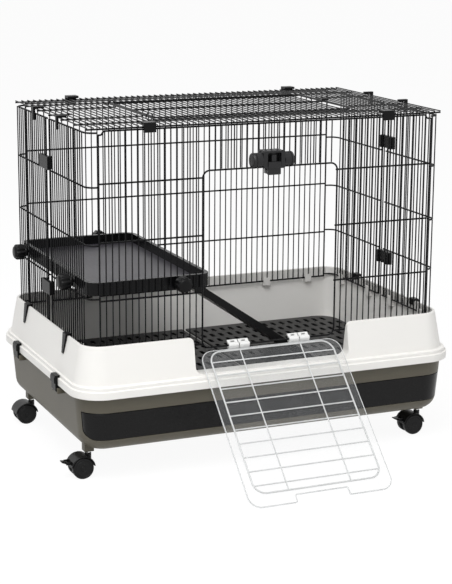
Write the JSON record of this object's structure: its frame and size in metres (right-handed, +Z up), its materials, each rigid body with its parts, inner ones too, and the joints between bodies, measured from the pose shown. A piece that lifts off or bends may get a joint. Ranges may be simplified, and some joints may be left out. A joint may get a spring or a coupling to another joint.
{
  "type": "rabbit cage",
  "caption": "Wire rabbit cage on a moulded tub and wheeled base with a pull-out drawer, a clear drop-down ramp door, a roof hatch, an inner shelf and a shelf ramp.",
  "frame": {"origin": "on the floor under the middle of the base", "axes": "+Z up, front towards -Y, +X to the right seen from the front"},
  "size_m": [0.8323, 0.7519, 0.688],
  "materials": {
    "black_wire": "semi-gloss black coated wire",
    "black_plastic": "satin black moulded plastic",
    "black_gloss_plastic": "smooth black moulded plastic",
    "white_plastic": "smooth warm white moulded plastic",
    "grey_plastic": "satin grey taupe moulded plastic",
    "dark_shelf_plastic": "satin near black moulded plastic",
    "clear_plastic": "clear moulded plastic with raised ribs",
    "bright_steel": "bright plated steel",
    "caster_plastic": "black caster plastic"
  },
  "bodies": {
    "cage": {"base_tray": "grey_plastic", "upper_tub": "white_plastic", "floor_grate_left": "black_plastic", "floor_grate_right": "black_plastic", "front_panel": "black_wire", "doorway_frame": "black_wire", "back_panel": "black_wire", "left_front_panel": "black_wire", "left_rear_panel": "black_wire", "right_front_panel": "black_wire", "right_rear_panel": "black_wire", "top_panel": "black_wire", "latch_housing": "black_plastic", "shelf": "dark_shelf_plastic", "caster_stems": "bright_steel", "cage_clips": "black_plastic", "top_clips": "black_plastic", "side_clips": "black_plastic", "seam_clips": "black_plastic"},
    "drawer": {"drawer": "black_gloss_plastic"},
    "front_door": {"front_door": "clear_plastic", "door_hinge_clips": "white_plastic"},
    "latch_slide": {"latch_slide": "black_plastic"},
    "top_hatch": {"top_hatch": "black_wire"},
    "ramp": {"ramp": "black_plastic"},
    "shelf_knob_front": {"shelf_knob_front": "black_plastic"},
    "shelf_knob_rear": {"shelf_knob_rear": "black_plastic"},
    "shelf_knob_left_front": {"shelf_knob_left_front": "black_plastic"},
    "shelf_knob_left_rear": {"shelf_knob_left_rear": "black_plastic"},
    "tub_catch_front_left": {"tub_catch_front_left": "black_plastic"},
    "tub_catch_front_right": {"tub_catch_front_right": "black_plastic"},
    "tub_catch_rear_left": {"tub_catch_rear_left": "black_plastic"},
    "tub_catch_rear_right": {"tub_catch_rear_right": "black_plastic"},
    "caster_front_left_swivel": {"caster_front_left_yoke": "caster_plastic"},
    "caster_front_left_front_wheel": {"caster_front_left_front_wheel": "caster_plastic"},
    "caster_front_left_rear_wheel": {"caster_front_left_rear_wheel": "caster_plastic"},
    "caster_front_left_brake": {"caster_front_left_brake": "caster_plastic"},
    "caster_front_right_swivel": {"caster_front_right_yoke": "caster_plastic"},
    "caster_front_right_front_wheel": {"caster_front_right_front_wheel": "caster_plastic"},
    "caster_front_right_rear_wheel": {"caster_front_right_rear_wheel": "caster_plastic"},
    "caster_front_right_brake": {"caster_front_right_brake": "caster_plastic"},
    "caster_rear_left_swivel": {"caster_rear_left_yoke": "caster_plastic"},
    "caster_rear_left_front_wheel": {"caster_rear_left_front_wheel": "caster_plastic"},
    "caster_rear_left_rear_wheel": {"caster_rear_left_rear_wheel": "caster_plastic"},
    "caster_rear_right_swivel": {"caster_rear_right_yoke": "caster_plastic"},
    "caster_rear_right_front_wheel": {"caster_rear_right_front_wheel": "caster_plastic"},
    "caster_rear_right_rear_wheel": {"caster_rear_right_rear_wheel": "caster_plastic"}
  },
  "joints": [
    {"name": "drawer_slide", "type": "slide", "parent": "cage", "child": "drawer", "axis": [0, -1, 0], "range_m": [0, 0.068]},
    {"name": "front_door_hinge", "type": "hinge", "parent": "cage", "child": "front_door", "pos_m": [0, -0.229, 0.243], "axis": [-1, 0, 0], "range_deg": [0, 133]},
    {"name": "latch_thumb_slide", "type": "slide", "parent": "cage", "child": "latch_slide", "axis": [0, 0, -1], "range_m": [0, 0.012]},
    {"name": "top_hatch_hinge", "type": "hinge", "parent": "cage", "child": "top_hatch", "pos_m": [-0.207, 0, 0.67981], "axis": [0, -1, 0], "range_deg": [0, 110]},
    {"name": "ramp_hinge", "type": "hinge", "parent": "cage", "child": "ramp", "pos_m": [-0.116, -0.055, 0.342], "axis": [0, -1, 0], "range_deg": [0, 70]},
    {"name": "shelf_knob_front_turn", "type": "hinge", "parent": "cage", "child": "shelf_knob_front", "pos_m": [-0.18739, -0.24, 0.376], "axis": [0, -1, 0], "continuous": true},
    {"name": "shelf_knob_rear_turn", "type": "hinge", "parent": "cage", "child": "shelf_knob_rear", "pos_m": [-0.18769, 0.24, 0.376], "axis": [0, 1, 0], "continuous": true},
    {"name": "shelf_knob_left_front_turn", "type": "hinge", "parent": "cage", "child": "shelf_knob_left_front", "pos_m": [-0.385, -0.13517, 0.376], "axis": [-1, 0, 0], "continuous": true},
    {"name": "shelf_knob_left_rear_turn", "type": "hinge", "parent": "cage", "child": "shelf_knob_left_rear", "pos_m": [-0.385, 0.1611, 0.376], "axis": [-1, 0, 0], "continuous": true},
    {"name": "tub_catch_front_left_hinge", "type": "hinge", "parent": "cage", "child": "tub_catch_front_left", "pos_m": [-0.404, -0.128, 0.163], "axis": [0, -1, 0], "range_deg": [0, 110]},
    {"name": "tub_catch_front_right_hinge", "type": "hinge", "parent": "cage", "child": "tub_catch_front_right", "pos_m": [0.404, -0.128, 0.163], "axis": [0, 1, 0], "range_deg": [0, 110]},
    {"name": "tub_catch_rear_left_hinge", "type": "hinge", "parent": "cage", "child": "tub_catch_rear_left", "pos_m": [-0.404, 0.128, 0.163], "axis": [0, -1, 0], "range_deg": [0, 110]},
    {"name": "tub_catch_rear_right_hinge", "type": "hinge", "parent": "cage", "child": "tub_catch_rear_right", "pos_m": [0.404, 0.128, 0.163], "axis": [0, 1, 0], "range_deg": [0, 110]},
    {"name": "caster_front_left_swivel_turn", "type": "hinge", "parent": "cage", "child": "caster_front_left_swivel", "pos_m": [-0.363, -0.187, 0.036], "axis": [0, 0, 1], "continuous": true},
    {"name": "caster_front_left_front_wheel_spin", "type": "hinge", "parent": "caster_front_left_swivel", "child": "caster_front_left_front_wheel", "pos_m": [-0.378, -0.187, 0.021], "axis": [0, 1, 0], "continuous": true},
    {"name": "caster_front_left_rear_wheel_spin", "type": "hinge", "parent": "caster_front_left_swivel", "child": "caster_front_left_rear_wheel", "pos_m": [-0.378, -0.187, 0.021], "axis": [0, 1, 0], "continuous": true},
    {"name": "caster_front_left_brake_lever", "type": "hinge", "parent": "caster_front_left_swivel", "child": "caster_front_left_brake", "pos_m": [-0.407, -0.187, 0.032], "axis": [0, -1, 0], "range_deg": [0, 15]},
    {"name": "caster_front_right_swivel_turn", "type": "hinge", "parent": "cage", "child": "caster_front_right_swivel", "pos_m": [0.363, -0.187, 0.036], "axis": [0, 0, 1], "continuous": true},
    {"name": "caster_front_right_front_wheel_spin", "type": "hinge", "parent": "caster_front_right_swivel", "child": "caster_front_right_front_wheel", "pos_m": [0.348, -0.187, 0.021], "axis": [0, 1, 0], "continuous": true},
    {"name": "caster_front_right_rear_wheel_spin", "type": "hinge", "parent": "caster_front_right_swivel", "child": "caster_front_right_rear_wheel", "pos_m": [0.348, -0.187, 0.021], "axis": [0, 1, 0], "continuous": true},
    {"name": "caster_front_right_brake_lever", "type": "hinge", "parent": "caster_front_right_swivel", "child": "caster_front_right_brake", "pos_m": [0.319, -0.187, 0.032], "axis": [0, -1, 0], "range_deg": [0, 15]},
    {"name": "caster_rear_left_swivel_turn", "type": "hinge", "parent": "cage", "child": "caster_rear_left_swivel", "pos_m": [-0.363, 0.187, 0.036], "axis": [0, 0, 1], "continuous": true},
    {"name": "caster_rear_left_front_wheel_spin", "type": "hinge", "parent": "caster_rear_left_swivel", "child": "caster_rear_left_front_wheel", "pos_m": [-0.378, 0.187, 0.021], "axis": [0, 1, 0], "continuous": true},
    {"name": "caster_rear_left_rear_wheel_spin", "type": "hinge", "parent": "caster_rear_left_swivel", "child": "caster_rear_left_rear_wheel", "pos_m": [-0.378, 0.187, 0.021], "axis": [0, 1, 0], "continuous": true},
    {"name": "caster_rear_right_swivel_turn", "type": "hinge", "parent": "cage", "child": "caster_rear_right_swivel", "pos_m": [0.363, 0.187, 0.036], "axis": [0, 0, 1], "continuous": true},
    {"name": "caster_rear_right_front_wheel_spin", "type": "hinge", "parent": "caster_rear_right_swivel", "child": "caster_rear_right_front_wheel", "pos_m": [0.348, 0.187, 0.021], "axis": [0, 1, 0], "continuous": true},
    {"name": "caster_rear_right_rear_wheel_spin", "type": "hinge", "parent": "caster_rear_right_swivel", "child": "caster_rear_right_rear_wheel", "pos_m": [0.348, 0.187, 0.021], "axis": [0, 1, 0], "continuous": true}
  ]
}
